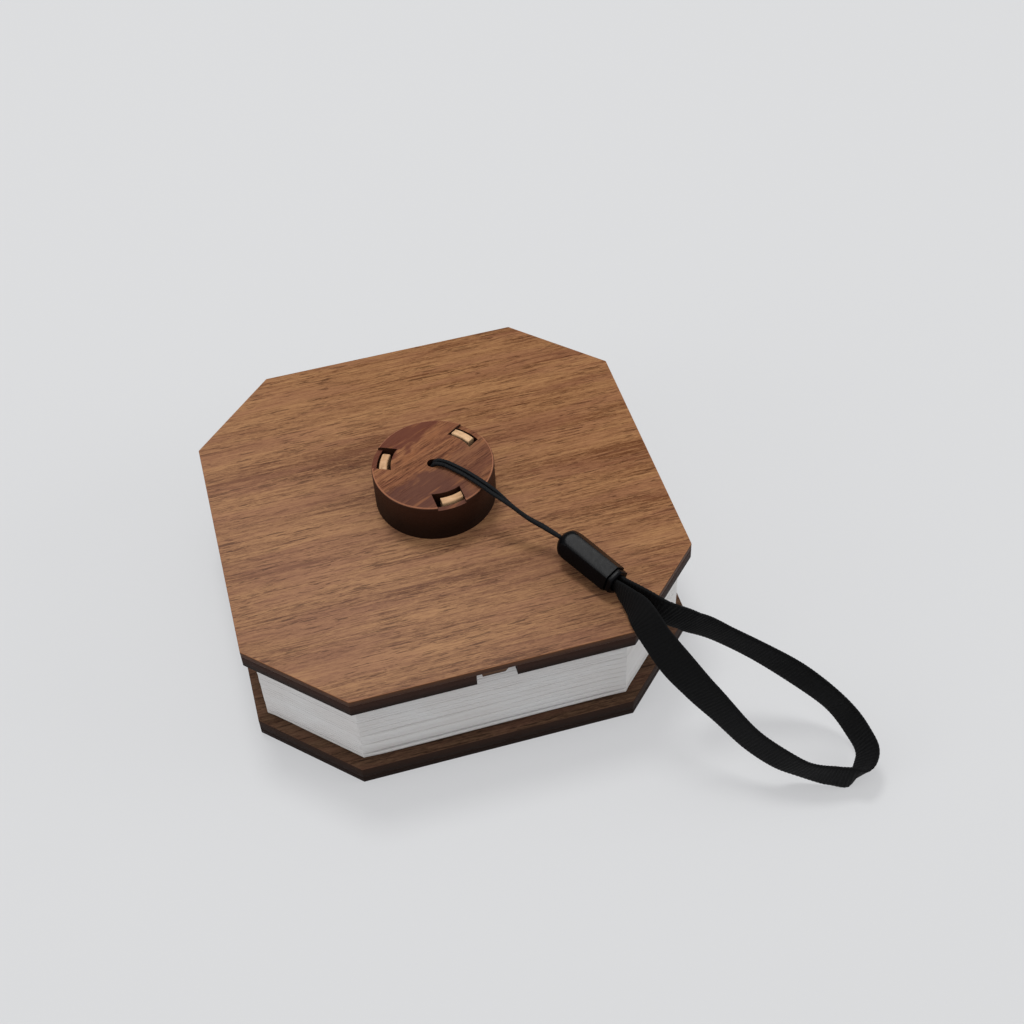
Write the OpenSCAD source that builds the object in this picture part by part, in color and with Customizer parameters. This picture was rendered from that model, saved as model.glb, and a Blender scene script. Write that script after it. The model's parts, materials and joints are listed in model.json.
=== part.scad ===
// Lantern lamp of folded paper between two octagonal wooden covers, with a round hanger and a wrist strap.
// Millimetres. +Z up, +X along the front edge, +Y to the back. Origin: centre of the bottom cover's underside.

/* [Covers] */
// Distance across the flats of a cover
cover_flats = 120; // [112:1:150]
// Length that each straight corner cut takes off a side
corner_cut = 23.2; // [18:0.2:28]
// Thickness of the board on the outside of a cover
outer_board_t = 2; // [1.6:0.1:3]
// Thickness of the board that carries the paper
inner_board_t = 3.6; // [3.5:0.1:5]

/* [Paper bellows] */
// How far the folded paper stands back from the cover's edge
paper_inset = 3; // [2:0.5:5]
// Depth of a fold, from its outer crease to its inner crease
fold_depth = 12; // [8:0.5:14]
// Height that one closed fold takes up
fold_pitch = 2; // [1.9:0.05:3]
// Clear height between two closed folds
fold_gap = 0.2; // [0.1:0.05:0.4]
// How far a fold is thinned towards its creases
crease_bevel = 0.7; // [0.3:0.1:1.5]
// Thickness of the paper sheets that are glued to the boards
end_sheet_t = 0.3; // [0.2:0.05:0.5]

/* [Front notch and slide switch] */
// Left end of the notch
notch_left = -4.6; // [-8:0.1:-4]
// Right end of the notch
notch_right = 5.9; // [5.6:0.1:8]
// Depth of the notch behind the cover's edge
notch_depth = 4.8; // [4:0.1:6]
// Left end of the switch's wooden key
key_left = -3.2; // [-3.4:0.1:-3]
// Right end of the switch's wooden key
key_right = 3.8; // [3.4:0.1:4]
// Height of the key
key_h = 1.3; // [1:0.1:1.6]
// Travel of the slide switch
key_travel = 1.8; // [1:0.1:1.8]

/* [Lamp housing] */
// Outer radius of the housing
housing_r = 33; // [30:0.5:36]
// Wall thickness of the housing
housing_wall = 1.8; // [1.2:0.1:2]
// Height of the housing
housing_h = 21.8; // [21:0.1:22]
// Battery size along X
battery_x = 36; // [30:1:38]
// Battery size along Y
battery_y = 26; // [20:1:28]
// Battery thickness
battery_z = 8; // [6:0.5:8]
// Number of LEDs
led_count = 12; // [6:1:18]
// Radius of the circle of LEDs
led_circle_r = 20; // [16:0.5:24]

/* [Round hanger] */
// Radius of the walnut cap
cap_r = 16.4; // [16.2:0.1:18]
// Height of the hanger above the cover
hanger_h = 12; // [11:0.5:14]
// Rounding of the cap's upper edge
cap_round = 0.8; // [0.3:0.1:1]
// How far the hanger stands behind the cover's centre
hanger_y = 0.8; // [-3:0.1:3]
// Width of a window in the cap
window_w = 7.8; // [7:0.1:8.4]
// Radius of a window's inner wall
window_inner_r = 11.2; // [10.5:0.1:11.8]
// Radius where a window gives way to the lowered rim
window_outer_r = 15.1; // [14.8:0.1:15.3]
// Depth of the lowered rim outside a window
rim_step = 1; // [0.6:0.1:1.6]
// Width of a lug
lug_w = 5.8; // [5:0.1:6]
// Inner radius of a lug
lug_inner_r = 12.2; // [11.8:0.1:12.6]
// Outer radius of a lug
lug_outer_r = 14.4; // [14:0.1:14.6]
// Depth of a lug's top under the top of the cap
lug_drop = 0.5; // [0.3:0.1:1.5]

/* [Lanyard] */
// Diameter of the cord
cord_d = 1.2; // [1:0.1:1.3]
// Radius of the hole that the doubled cord comes out of
cord_hole_r = 1.5; // [1.4:0.1:2]
// Distance across the flats of the six-sided bead, at its domed end
bead_flats = 7.6; // [7:0.1:8]
// Distance across the flats where the bead meets its collar
bead_end_flats = 7.3; // [6.8:0.1:7.6]
// Length of the bead
bead_l = 19.8; // [18.6:0.2:21]
// Thickness of the webbing
strap_t = 1.2; // [0.8:0.1:1.4]

/* [Hidden] */
$fn = 96;
eps = 0.01;

cover_half = cover_flats / 2;
cover_t = outer_board_t + inner_board_t;
fold_count = 12;
bellows_h = fold_count * fold_pitch + 2 * end_sheet_t;
top_inner_z = cover_t + bellows_h; // underside of the top cover
top_outer_z = top_inner_z + inner_board_t; // joint between its two boards
top_z = top_outer_z + outer_board_t; // upper face of the top cover
cap_top_z = top_z + hanger_h;

sheet_border = 17; // width of an end sheet
paper_end_d = paper_inset + sheet_border;
inner_crease_d = paper_inset + fold_depth;

keeper_r = 10;
keeper_t = 1;
closing_keeper_r = 9;

// the switch stands behind the notch
key_front_gap = 0.3;
key_front_y = -cover_half + key_front_gap;
key_back_y = key_front_y + 4.1;
key_top_z = top_outer_z - 0.2;
lever_w = 2;
lever_l = 3.7;
lever_h = 1;
lever_x = (key_left + key_right) / 2 - lever_w / 2;
switch_w = 8.6;
switch_d = 3.6;
switch_h = 2.8;
switch_x = (key_left + key_right + key_travel) / 2 - switch_w / 2;
switch_front_y = key_back_y + lever_l + 0.3;
switch_z = top_outer_z - switch_h;

// the charging socket is at the back edge
socket_w = 8.94;
socket_h = 3.26;
socket_l = 7.3;
socket_wall = 0.3;
socket_z = top_inner_z + inner_board_t / 2;
socket_y = cover_half - socket_l;
port_board_w = 13;
port_board_l = 8;
port_board_t = 1;
port_board_y = socket_y - port_board_l;

// levels inside the housing, from the top down
housing_base_t = 1.8;
housing_z = top_inner_z - housing_h;
housing_floor_z = top_inner_z - housing_base_t;
housing_inner_r = housing_r - housing_wall;
pad_t = 0.4;
battery_low_z = housing_floor_z - pad_t - battery_z;
board_t = 1.2;
board_x = 56;
board_y = 20;
board_z = battery_low_z - 1.3 - board_t;
post_x = 24;
post_r = 2.2;
ledge_r = 28.6;
ledge_h = 2;
led_board_t = 1;
led_board_r = 30;
led_board_z = board_z - 4.5;
led_w = 3;
led_h = 0.8;
snap_lip_r = 30;
snap_lip_t = 0.8;
diffuser_t = 1.2;
diffuser_r = housing_inner_r - 0.2;
diffuser_z = housing_z + snap_lip_t;
diffuser_rim_w = 1.2;
magnet_cup_r = 8;
magnet_cup_flange_r = 10.5;
magnet_cup_flange_t = 1.2;
magnet_cup_floor = 0.5;
magnet_cup_z = cover_t + 0.5;
closing_magnet_r = 6;
closing_magnet_t = 3;
magnet_play = 0.1;
housing_screw_circle = 27;
screw_shaft_r = 1.05;
screw_hole_r = 1.1;
screw_head_r = 2.3;
screw_head_h = 1.2;
screw_grip = 2.9;
board_screw_r = 0.95;
board_screw_hole_r = 1;
board_screw_head_r = 1.8;
board_screw_l = 5;
lead_r = 0.45;
lead_side = 0.7;
channel_w = 3.2;
channel_h = 1.5;
lead_hole_y = 29;
lead_hole_r = 1.8;

// the hanger
hanger_base_r = 15.1;
hanger_base_h = 3;
cap_foot_gap = 0.1;
cap_cavity_r = 15.17;
cap_ceiling_z = top_z + hanger_base_h + 0.2;
hanger_magnet_r = 8;
hanger_magnet_t = 2;
knot_room_r = 4.5;
knot_room_h = 4.8;
knot_h = 3;
knot_r = 3.2;
lug_round = 0.5;
lug_offset = 0.8; // the lugs stand against the anticlockwise ends of their windows
window_angles = [35, 155, 275];
window_half = window_w / 2;

// the bead lies from the end of the cord down to the cover
bead_tip = [26.8, -29.5, 41.45];
bead_yaw = -61.1;
bead_pitch = 4.8;
bead_roll = 12; // about its own length
bead_dome = 4.2;
bead_collar_l = 1.6;
bead_collar_flats = 6.4;
bead_bore_r = 2.3;

// centre line of each strand of the cord, from the knot to the bead
knot_top_z = cap_ceiling_z + knot_room_h;
strand_back = [
    [0.35, 1.33, knot_top_z], [0.35, 1.33, 45.6], [0.55, 1.15, 47.5], [1.45, 0.55, 48.6], [2.9, -0.4, 48.75],
    [4.3, -1.5, 48.55], [7.5, -5.3, 48.5], [10.65, -10.1, 48.55], [13.7, -14.55, 47.7], [16.55, -18.7, 45.75],
    [19.7, -22.2, 44], [23.2, -24.95, 42.4], [27.2, -29.65, 40.95]
];
strand_front = [
    [-0.35, 0.27, knot_top_z], [-0.35, 0.27, 45.6], [-0.15, 0.1, 47.5], [0.75, -0.5, 48.6], [2.2, -1.45, 48.75],
    [3.35, -2.35, 48.55], [6.45, -6.05, 48.5], [9.6, -10.8, 48.55], [12.7, -15.4, 48], [16.1, -19.45, 46.8],
    [19.4, -23.25, 45], [22.85, -26.35, 43.4], [27, -30.45, 41.9]
];
strand_rings = 3; // rings for each stretch of the route

// upper and lower edge of the webbing, round the loop from the bead and back to it
strap_upper_edge = [
    [36.65, -45.5, 41.6], [37.35, -46.9, 42.1], [38.5, -49.3, 42.8], [41.5, -54.5, 44], [45.5, -59, 43.5],
    [51, -60.5, 39], [59.5, -62, 32.5], [69.5, -66.5, 26], [79, -72, 20], [86, -80, 15.5],
    [90, -87, 11.5], [90.5, -95, 9], [86.5, -98.5, 8.5], [77, -96.5, 10], [70.5, -94.5, 12],
    [66, -91.5, 15], [60, -86.5, 19.5], [55, -80, 25], [50.5, -75, 31], [47, -70, 36],
    [43.5, -65, 40.7], [41.5, -61, 44], [39, -55.5, 43.7], [36.8, -50.2, 42.8], [35.6, -47.6, 42.1],
    [35.1, -46.2, 41.6]
];
strap_lower_edge = [
    [36.65, -45.5, 37.6], [37.35, -46.9, 37.2], [38.3, -49, 37], [40.8, -52.7, 37.3], [44, -57.5, 34.9],
    [51, -59, 30], [58.5, -59.5, 23.5], [69, -65, 17], [77, -70.5, 11], [84, -77.5, 6.5],
    [87, -84, 3], [87.5, -90, 1.5], [81.5, -97, 0.65], [78, -96, 0.65], [71, -92.5, 2.5],
    [64.5, -90, 6], [58, -85, 10.5], [52, -78.5, 16], [46.5, -74, 22], [41.5, -69.5, 28],
    [38, -63.7, 33.6], [36, -58.5, 37.2], [36, -53.5, 37.2], [35.75, -49.9, 37], [35.65, -47.6, 37.2],
    [35.1, -46.2, 37.6]
];
strap_rings = 3;

fold_names = ["fold_01", "fold_02", "fold_03", "fold_04", "fold_05", "fold_06",
              "fold_07", "fold_08", "fold_09", "fold_10", "fold_11", "fold_12"];

// ---- shared shapes

// corner cut of the octagon whose flats stand back by d
function cut_at(d) = corner_cut - d * (2 - sqrt(2));

module octagon(d = 0) {
    half = cover_half - d;
    short = half - cut_at(d);
    polygon([[-short, -half], [short, -half], [half, -short], [half, short],
             [short, half], [-short, half], [-half, short], [-half, -short]]);
}

module octagon_plate(d, t) {
    linear_extrude(t) octagon(d);
}

module octagon_frame(outer_d, inner_d, t) {
    linear_extrude(t) difference() {
        octagon(outer_d);
        octagon(inner_d);
    }
}

module box_between(low, high) {
    translate(low) cube(high - low);
}

function unit(v) = v / norm(v);
function spline(a, b, c, d, t) =
    0.5 * (2 * b + (c - a) * t + (2 * a - 5 * b + 4 * c - d) * t * t + (3 * b - a - 3 * c + d) * t * t * t);
function held(points, i) = points[max(0, min(len(points) - 1, i))];
// a smooth line through every point, with n steps between two of them
function smooth_line(points, n) = [
    for (i = [0 : len(points) - 2], k = [0 : n - 1])
        spline(held(points, i - 1), points[i], points[i + 1], held(points, i + 2), k / n),
    points[len(points) - 1]
];
function tangent(line, i) = unit(held(line, i + 1) - held(line, i - 1));
function ring_frame(t, side) = let (a = unit(side - (side * t) * t)) [a, cross(t, a)];

// faces of a tube of rings, each with the same number of corners
function tube_faces(rings, corners) = concat(
    [[for (j = [0 : corners - 1]) j]],
    [for (i = [0 : rings - 2], j = [0 : corners - 1]) let (k = (j + 1) % corners)
        [i * corners + j, (i + 1) * corners + j, (i + 1) * corners + k]],
    [for (i = [0 : rings - 2], j = [0 : corners - 1]) let (k = (j + 1) % corners)
        [i * corners + j, (i + 1) * corners + k, i * corners + k]],
    [[for (j = [corners - 1 : -1 : 0]) (rings - 1) * corners + j]]
);

module round_tube(line, r, side) {
    corners = 8;
    points = [for (i = [0 : len(line) - 1])
        let (f = ring_frame(tangent(line, i), side))
        for (j = [0 : corners - 1]) let (a = 360 * j / corners) line[i] + r * (cos(a) * f[0] + sin(a) * f[1])];
    polyhedron(points, tube_faces(len(line), corners));
}

// flat band between an upper and a lower edge line
module band(upper, lower, t) {
    points = [for (i = [0 : len(upper) - 1])
        let (along = unit(tangent(upper, i) + tangent(lower, i)),
             n = unit(cross(upper[i] - lower[i], along)) * t / 2)
        each [upper[i] + n, upper[i] - n, lower[i] - n, lower[i] + n]];
    polyhedron(points, tube_faces(len(upper), 4));
}

module screw(shaft_r, shaft_l, head_r, head_h) {
    cylinder(r = shaft_r, h = shaft_l, $fn = 32);
    translate([0, 0, -head_h]) cylinder(r = head_r, h = head_h, $fn = 32);
}

// ---- bottom cover

module bottom_outer_board() {
    color("#5a3d2c") octagon_plate(0, outer_board_t);
}

module bottom_inner_board() {
    color("#6e4d38") difference() {
        translate([0, 0, outer_board_t]) octagon_plate(0, inner_board_t);
        translate([0, 0, cover_t - keeper_t]) cylinder(r = closing_keeper_r + magnet_play, h = keeper_t + 1);
    }
}

module bottom_end_sheet() {
    color("#efece6") translate([0, 0, cover_t]) octagon_frame(paper_inset, paper_end_d, end_sheet_t);
}

module closing_keeper() {
    color("#a9abad") translate([0, 0, cover_t - keeper_t]) cylinder(r = closing_keeper_r, h = keeper_t);
}

// ---- paper bellows

// one closed fold: an octagonal frame that thins towards its creases
module fold(i) {
    low_z = cover_t + end_sheet_t + i * fold_pitch + fold_gap / 2;
    full_h = fold_pitch - fold_gap;
    crease_h = full_h - 2 * crease_bevel / 2;
    color("#f4f2ee") difference() {
        hull() {
            translate([0, 0, low_z]) octagon_plate(paper_inset + crease_bevel, full_h);
            translate([0, 0, low_z + crease_bevel / 2]) octagon_plate(paper_inset, crease_h);
        }
        translate([0, 0, low_z - 1]) octagon_plate(inner_crease_d, full_h + 2);
    }
}

// ---- top cover

module top_outer_board() {
    color("#9a6f50") translate([0, 0, top_outer_z]) octagon_plate(0, outer_board_t);
}

module top_inner_board() {
    below = top_inner_z - 1;
    above = top_outer_z + 1;
    color("#4a3226") difference() {
        translate([0, 0, top_inner_z]) octagon_plate(0, inner_board_t);
        // seat of the steel disc under the hanger
        translate([0, 0, top_outer_z - keeper_t]) cylinder(r = keeper_r + magnet_play, h = keeper_t + 1);
        // notch in the front edge, the lever's slot and the switch's pocket
        box_between([notch_left, -cover_half - 1, below], [notch_right, -cover_half + notch_depth, above]);
        box_between([lever_x - 0.5, -cover_half, key_top_z - key_h - 0.4],
                    [lever_x + lever_w + key_travel + 0.5, switch_front_y + 0.2, above]);
        box_between([switch_x - 0.3, switch_front_y - 0.2, below],
                    [switch_x + switch_w + 0.3, switch_front_y + switch_d + 0.3, above]);
        // opening and pocket of the charging socket
        box_between([-socket_w / 2 - 0.15, socket_y - 0.2, below], [socket_w / 2 + 0.15, cover_half + 1, above]);
        box_between([-port_board_w / 2 - 0.3, port_board_y - 0.3, below],
                    [port_board_w / 2 + 0.3, socket_y, top_inner_z + 0.3 + port_board_t]);
        // channels for the leads
        for (side = [-1, 1])
            box_between([-channel_w / 2, min(side * 26, side * 48), below],
                        [channel_w / 2, max(side * 26, side * 48), top_inner_z + channel_h]);
        // holes for the housing's screws
        for (a = [45 : 90 : 315])
            rotate([0, 0, a]) translate([housing_screw_circle, 0, below]) cylinder(r = screw_hole_r, h = 1 + 3.2, $fn = 32);
    }
}

module top_end_sheet() {
    color("#efece6") translate([0, 0, top_inner_z - end_sheet_t])
        octagon_frame(paper_inset, paper_end_d, end_sheet_t);
}

module hanger_keeper() {
    color("#a9abad") translate([0, 0, top_outer_z - keeper_t]) cylinder(r = keeper_r, h = keeper_t);
}

// ---- lamp housing under the top cover

module lamp_housing() {
    color("#e8e6e1") difference() {
        union() {
            difference() {
                translate([0, 0, housing_z]) cylinder(r = housing_r, h = housing_h);
                translate([0, 0, housing_z - 1])
                    cylinder(r = housing_inner_r, h = housing_h - housing_base_t + 1);
            }
            // ledge that the LED board is pushed against
            translate([0, 0, led_board_z + led_board_t]) difference() {
                cylinder(r = housing_inner_r + 0.2, h = ledge_h);
                translate([0, 0, -1]) cylinder(r = ledge_r, h = ledge_h + 2);
            }
            // lip that keeps the diffuser in
            translate([0, 0, housing_z]) difference() {
                cylinder(r = housing_inner_r + 0.2, h = snap_lip_t);
                translate([0, 0, -1]) cylinder(r = snap_lip_r, h = snap_lip_t + 2);
            }
            for (side = [-1, 1])
                translate([side * post_x, 0, board_z + board_t])
                    cylinder(r = post_r, h = housing_floor_z - board_z - board_t + 0.2, $fn = 48);
        }
        for (side = [-1, 1]) {
            translate([side * post_x, 0, board_z]) cylinder(r = board_screw_hole_r, h = board_screw_l + 1, $fn = 32);
            translate([0, side * lead_hole_y, housing_floor_z - 1])
                cylinder(r = lead_hole_r, h = housing_base_t + 2, $fn = 32);
        }
        for (a = [45 : 90 : 315])
            rotate([0, 0, a]) translate([housing_screw_circle, 0, housing_floor_z - 1])
                cylinder(r = screw_hole_r, h = housing_base_t + 2, $fn = 32);
    }
}

module housing_screws() {
    color("#8f9193") for (a = [45 : 90 : 315])
        rotate([0, 0, a]) translate([housing_screw_circle, 0, housing_floor_z])
            screw(screw_shaft_r, housing_base_t + screw_grip, screw_head_r, screw_head_h);
}

module battery() {
    color("#b9bcc0") translate([-battery_x / 2, -battery_y / 2, battery_low_z])
        cube([battery_x, battery_y, battery_z]);
}

module battery_pad() {
    color("#3c3c3c") translate([-battery_x / 2 + 3, -battery_y / 2 + 3, battery_low_z + battery_z])
        cube([battery_x - 6, battery_y - 6, pad_t]);
}

module control_board() {
    color("#1f5e3a") difference() {
        translate([-board_x / 2, -board_y / 2, board_z]) cube([board_x, board_y, board_t]);
        for (side = [-1, 1])
            translate([side * post_x, 0, board_z - 1])
                cylinder(r = board_screw_hole_r + 0.1, h = board_t + 2, $fn = 32);
    }
}

// charging chip, coil and two capacitors on the underside of the board
module control_parts() {
    color("#26282a") {
        translate([-19, 2, board_z - 1]) cube([5, 5, 1]);
        translate([-19, -7, board_z - 2]) cube([4, 4, 2]);
        translate([14, 3, board_z - 1.4]) cube([3.2, 1.6, 1.4]);
        translate([14, -5, board_z - 1.4]) cube([3.2, 1.6, 1.4]);
    }
}

module board_screws() {
    color("#8f9193") for (side = [-1, 1])
        translate([side * post_x, 0, board_z])
            screw(board_screw_r, board_screw_l, board_screw_head_r, screw_head_h);
}

module led_board() {
    color("#dfe2e4") translate([0, 0, led_board_z]) difference() {
        cylinder(r = led_board_r, h = led_board_t);
        translate([0, 0, -1]) cylinder(r = magnet_cup_r + 0.2, h = led_board_t + 2);
    }
}

module leds() {
    color("#f3e27a") for (i = [0 : led_count - 1])
        rotate([0, 0, i * 360 / led_count])
            translate([led_circle_r - led_w / 2, -led_w / 2, led_board_z - led_h]) cube([led_w, led_w, led_h]);
}

module diffuser() {
    color("#f7f6f1") difference() {
        translate([0, 0, diffuser_z]) cylinder(r = diffuser_r, h = led_board_z - diffuser_z);
        translate([0, 0, diffuser_z + diffuser_t]) cylinder(r = diffuser_r - diffuser_rim_w, h = 20);
        translate([0, 0, diffuser_z - 1]) cylinder(r = magnet_cup_r + 0.3, h = 20);
    }
}

module magnet_cup() {
    cup_top_z = led_board_z + led_board_t + magnet_cup_flange_t;
    color("#e8e6e1") difference() {
        union() {
            translate([0, 0, magnet_cup_z]) cylinder(r = magnet_cup_r, h = cup_top_z - magnet_cup_z);
            translate([0, 0, cup_top_z - magnet_cup_flange_t])
                cylinder(r = magnet_cup_flange_r, h = magnet_cup_flange_t);
        }
        translate([0, 0, magnet_cup_z + magnet_cup_floor]) cylinder(r = closing_magnet_r + magnet_play, h = 20);
    }
}

module closing_magnet() {
    color("#c6c8ca") translate([0, 0, magnet_cup_z + magnet_cup_floor])
        cylinder(r = closing_magnet_r, h = closing_magnet_t);
}

// ---- charging socket at the back edge

module stadium(w, h) {
    for (side = [-1, 1]) translate([side * (w - h) / 2, 0]) circle(d = h);
    square([w - h, h], center = true);
}

module socket_shell() {
    color("#b4b6b8") translate([0, cover_half, socket_z]) rotate([90, 0, 0]) {
        linear_extrude(socket_l) difference() {
            stadium(socket_w, socket_h);
            stadium(socket_w - 2 * socket_wall, socket_h - 2 * socket_wall);
        }
        translate([0, 0, socket_l - socket_wall]) linear_extrude(socket_wall)
            stadium(socket_w - socket_wall, socket_h - socket_wall);
    }
}

module socket_tongue() {
    color("#202122") box_between([-3.3, socket_y + socket_wall, socket_z - 0.35],
                                 [3.3, cover_half - 0.8, socket_z + 0.35]);
}

module port_board() {
    color("#1f5e3a") translate([-port_board_w / 2, port_board_y, top_inner_z + 0.3])
        cube([port_board_w, port_board_l, port_board_t]);
}

// two leads from a pocket in the board, down into the housing and on to the control board
module lead_pair(side, start_y) {
    lead_z = top_inner_z + channel_h / 2;
    for (x = [-lead_side, lead_side])
        round_tube(smooth_line([
            [x, side * start_y, lead_z], [x, side * 38, lead_z], [x, side * 32, lead_z - 0.05],
            [x, side * 29.2, lead_z - 1.4], [x, side * 28.6, lead_z - 4.5], [x, side * 25.5, lead_z - 9],
            [x, side * 19, board_z + board_t + 1], [x, side * 14, board_z + board_t + 0.6],
            [x, side * 9, board_z + board_t + lead_r + eps]], 3), lead_r, [1, 0, 0]);
}

module charge_leads() {
    color("#8c1d1d") lead_pair(1, port_board_y);
}

// ---- slide switch behind the front notch

module switch_body() {
    color("#2a2b2d") translate([switch_x, switch_front_y, switch_z]) cube([switch_w, switch_d, switch_h]);
}

module switch_leads() {
    color("#8c1d1d") lead_pair(-1, -switch_front_y - switch_d);
}

module switch_key() {
    color("#6b5140") translate([0, key_back_y, key_top_z - key_h]) rotate([90, 0, 0])
        linear_extrude(key_back_y - key_front_y)
            polygon([[key_left + 0.2, 0], [key_right - 0.9, 0], [key_right, key_h], [key_left, key_h]]);
}

module switch_lever() {
    color("#2a2b2d") translate([lever_x, key_back_y, key_top_z - key_h + 0.15])
        cube([lever_w, lever_l, lever_h]);
}

// ---- round hanger, held to the cover by its magnet

module hanger_base() {
    color("#d8b48f") translate([0, hanger_y, top_z]) difference() {
        cylinder(r = hanger_base_r, h = hanger_base_h);
        translate([0, 0, -1]) cylinder(r = hanger_magnet_r + magnet_play, h = hanger_magnet_t + 1.2);
    }
}

module hanger_magnet() {
    color("#c6c8ca") translate([0, hanger_y, top_z + 0.1]) cylinder(r = hanger_magnet_r, h = hanger_magnet_t);
}

// curved lug with a softened top
module lug() {
    lug_h = hanger_h - hanger_base_h - lug_drop;
    lug_t = lug_outer_r - lug_inner_r;
    intersection() {
        rotate_extrude() translate([lug_inner_r, 0]) {
            square([lug_t, lug_h - lug_round]);
            translate([lug_round, 0]) square([lug_t - 2 * lug_round, lug_h]);
            for (x = [lug_round, lug_t - lug_round])
                translate([x, lug_h - lug_round]) circle(r = lug_round, $fn = 24);
        }
        translate([lug_inner_r - 2, lug_offset - lug_w / 2, -1]) cube([6, lug_w, lug_h + 2]);
    }
}

module hanger_lugs() {
    color("#e2c19c") for (a = window_angles)
        translate([0, hanger_y, top_z + hanger_base_h]) rotate([0, 0, a]) lug();
}

// window over a lug, open through the rim above a lowered step
module window() {
    from_z = cap_ceiling_z - top_z;
    intersection() {
        translate([0, -window_half, from_z - 0.5]) cube([cap_r, window_w, hanger_h]);
        difference() {
            translate([0, 0, from_z - 0.5]) cylinder(r = window_outer_r, h = hanger_h);
            cylinder(r = window_inner_r, h = 2 * hanger_h);
        }
    }
    translate([window_inner_r + 1.6, -window_half, hanger_h - rim_step]) cube([8, window_w, rim_step + 1]);
}

module hanger_cap() {
    color("#7a4c35") translate([0, hanger_y, top_z]) difference() {
        rotate_extrude() {
            translate([0, cap_foot_gap]) square([cap_r, hanger_h - cap_round - cap_foot_gap]);
            square([cap_r - cap_round, hanger_h]);
            translate([cap_r - cap_round, hanger_h - cap_round]) circle(r = cap_round, $fn = 32);
        }
        translate([0, 0, -1]) cylinder(r = cap_cavity_r, h = cap_ceiling_z - top_z + 1);
        translate([0, 0, hanger_base_h]) cylinder(r = knot_room_r, h = knot_room_h + 0.2);
        cylinder(r = cord_hole_r, h = 2 * hanger_h, $fn = 48);
        for (a = window_angles) rotate([0, 0, a]) window();
    }
}

// ---- lanyard

module cord_knot() {
    color("#1c1c1e") translate([0, hanger_y, knot_top_z - knot_h]) rotate_extrude() {
        square([knot_r - knot_h / 2, knot_h]);
        translate([knot_r - knot_h / 2, knot_h / 2]) circle(d = knot_h, $fn = 32);
    }
}

module cord_strand_back() {
    color("#1c1c1e") round_tube(smooth_line(strand_back, strand_rings), cord_d / 2, [0.69, 0.72, 0]);
}

module cord_strand_front() {
    color("#1c1c1e") round_tube(smooth_line(strand_front, strand_rings), cord_d / 2, [0.69, 0.72, 0]);
}

module at_bead() {
    translate(bead_tip) rotate([0, 0, bead_yaw]) rotate([0, bead_pitch, 0]) rotate([bead_roll, 0, 0]) children();
}

// bar that may be narrower at its far end
module hexagon_bar(flats, end_flats, l) {
    rotate([0, 90, 0]) rotate([0, 0, 30]) cylinder(r1 = flats / sqrt(3), r2 = end_flats / sqrt(3), h = l, $fn = 6);
}

// six-sided bar with a domed end towards the cord
module bead_shell() {
    color("#17171a") at_bead() difference() {
        intersection() {
            hexagon_bar(bead_flats, bead_end_flats, bead_l - bead_collar_l);
            union() {
                translate([bead_dome, 0, 0]) sphere(r = bead_dome + 0.2, $fn = 48);
                translate([bead_dome, 0, 0]) rotate([0, 90, 0]) cylinder(r = bead_dome + 0.2, h = bead_l, $fn = 48);
            }
        }
        translate([bead_l - 9, 0, 0]) rotate([0, 90, 0]) cylinder(r = bead_bore_r, h = 10, $fn = 48);
    }
}

module bead_collar() {
    color("#202023") at_bead() difference() {
        translate([bead_l - bead_collar_l, 0, 0]) hexagon_bar(bead_collar_flats, bead_collar_flats, bead_collar_l);
        translate([bead_l - bead_collar_l - 1, 0, 0]) rotate([0, 90, 0])
            cylinder(r = bead_bore_r, h = bead_collar_l + 2, $fn = 48);
    }
}

module strap_webbing() {
    color("#222326") band(smooth_line(strap_upper_edge, strap_rings), smooth_line(strap_lower_edge, strap_rings), strap_t);
}

// ---- nodes

for (i = [0 : fold_count - 1]) fold(i);
bottom_outer_board();
bottom_inner_board();
bottom_end_sheet();
closing_keeper();
top_outer_board();
top_inner_board();
top_end_sheet();
hanger_keeper();
lamp_housing();
housing_screws();
battery();
battery_pad();
control_board();
control_parts();
board_screws();
led_board();
leds();
diffuser();
magnet_cup();
closing_magnet();
socket_shell();
socket_tongue();
port_board();
charge_leads();
switch_body();
switch_leads();
switch_key();
switch_lever();
hanger_base();
hanger_magnet();
hanger_lugs();
hanger_cap();
cord_knot();
cord_strand_back();
cord_strand_front();
bead_shell();
bead_collar();
strap_webbing();
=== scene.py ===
import json
import math

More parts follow.
